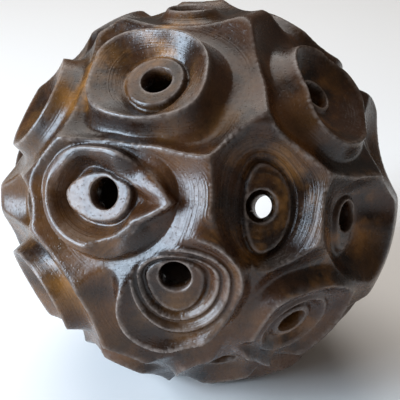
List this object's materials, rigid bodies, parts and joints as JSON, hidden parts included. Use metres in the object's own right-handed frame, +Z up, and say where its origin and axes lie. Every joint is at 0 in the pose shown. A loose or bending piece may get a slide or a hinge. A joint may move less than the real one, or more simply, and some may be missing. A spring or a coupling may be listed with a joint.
{
  "type": "decorative sphere",
  "caption": "Hollow carved ball with round holes set in nested eye-like hollows, sharp curved webs between them and a small flat spot to rest on.",
  "frame": {"origin": "middle of the small flat spot on the underside", "axes": "+Z up through the centre of the ball, -Y towards the side shown in the picture, +X to the right of it"},
  "size_m": [0.1307, 0.1251, 0.1261],
  "materials": {
    "glaze": "dark brown satin gloss, amber brown in the hollows"
  },
  "bodies": {
    "root": {"sphere": "glaze"}
  },
  "joints": []
}
